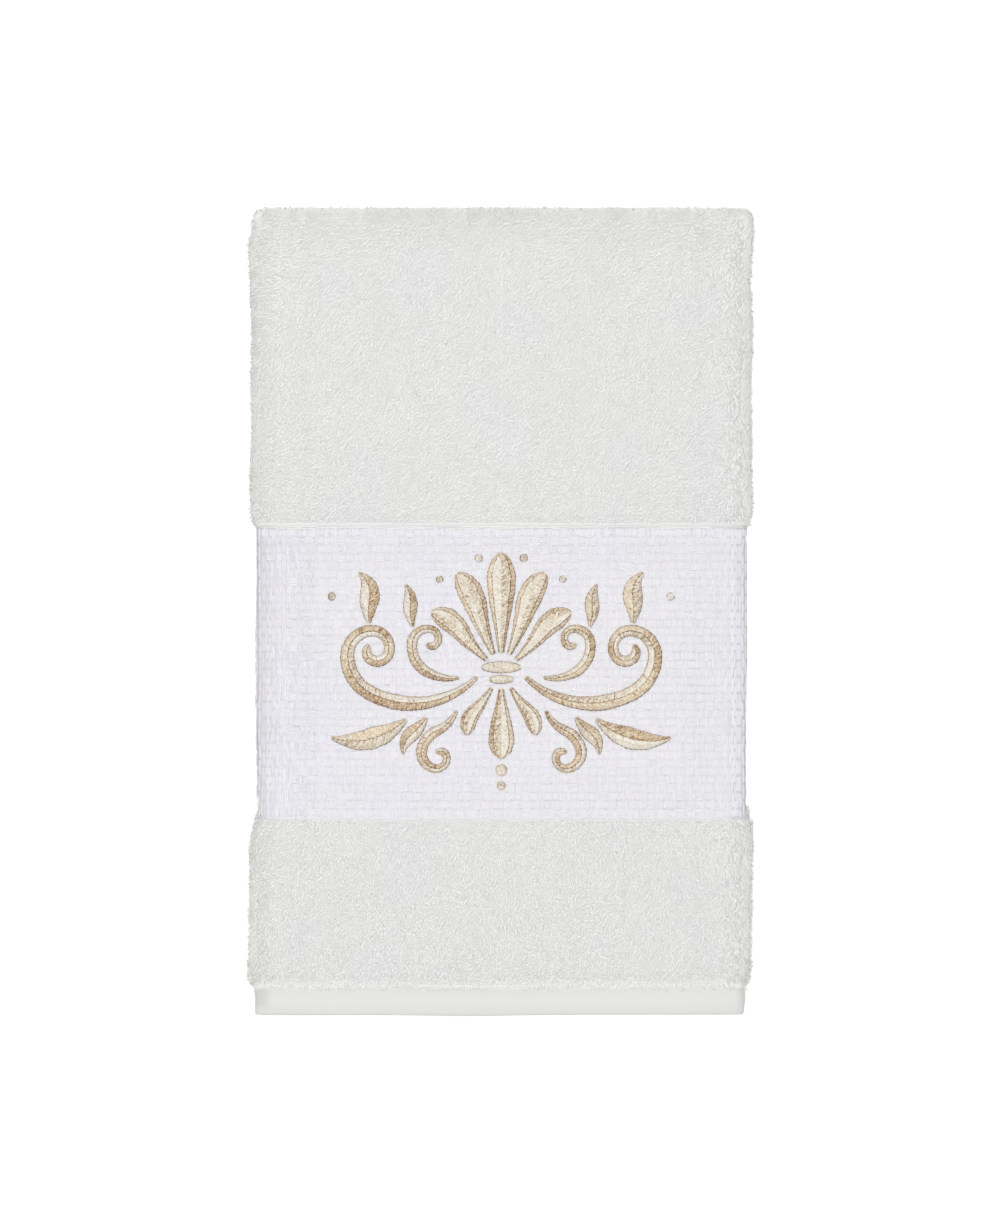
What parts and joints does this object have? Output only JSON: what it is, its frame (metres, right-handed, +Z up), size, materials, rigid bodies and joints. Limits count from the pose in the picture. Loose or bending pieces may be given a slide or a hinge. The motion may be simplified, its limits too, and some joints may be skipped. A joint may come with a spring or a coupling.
{
  "type": "folded hand towel",
  "caption": "Terry hand towel folded in half with its sides turned behind, with a flat woven border, a plain hem and raised scroll-and-palmette embroidery.",
  "frame": {"origin": "on the surface the towel lies on, under the middle of its box", "axes": "+X across the towel to the right, +Y from the hem to the top fold, +Z up through its layers, face up"},
  "size_m": [0.2323, 0.3706, 0.0202],
  "materials": {
    "towel_cloth": "white cotton terry with a flat woven border and hem",
    "champagne_thread": "satin embroidery thread with a soft sheen",
    "gold_thread": "satin embroidery thread with a soft sheen"
  },
  "bodies": {
    "root": {"towel": "towel_cloth", "stitch_petal_mid": "champagne_thread", "stitch_petal_in_left": "champagne_thread", "stitch_petal_in_right": "champagne_thread", "stitch_petal_out_left": "champagne_thread", "stitch_petal_out_right": "champagne_thread", "stitch_collar": "champagne_thread", "stitch_ring": "champagne_thread", "stitch_drop_mid": "champagne_thread", "stitch_drop_side_left": "champagne_thread", "stitch_drop_side_right": "champagne_thread", "stitch_bead_low": "champagne_thread", "stitch_bead_end": "champagne_thread", "stitch_scroll_left": "gold_thread", "stitch_scroll_right": "gold_thread", "stitch_curl_up_left": "gold_thread", "stitch_curl_up_right": "gold_thread", "stitch_curl_low_left": "gold_thread", "stitch_curl_low_right": "gold_thread", "stitch_sprig_left": "champagne_thread", "stitch_sprig_right": "champagne_thread", "stitch_leaf_low_left": "champagne_thread", "stitch_leaf_low_right": "champagne_thread", "stitch_leaf_mid_left": "champagne_thread", "stitch_leaf_mid_right": "champagne_thread", "stitch_leaf_top_left": "champagne_thread", "stitch_leaf_top_right": "champagne_thread"}
  },
  "joints": []
}
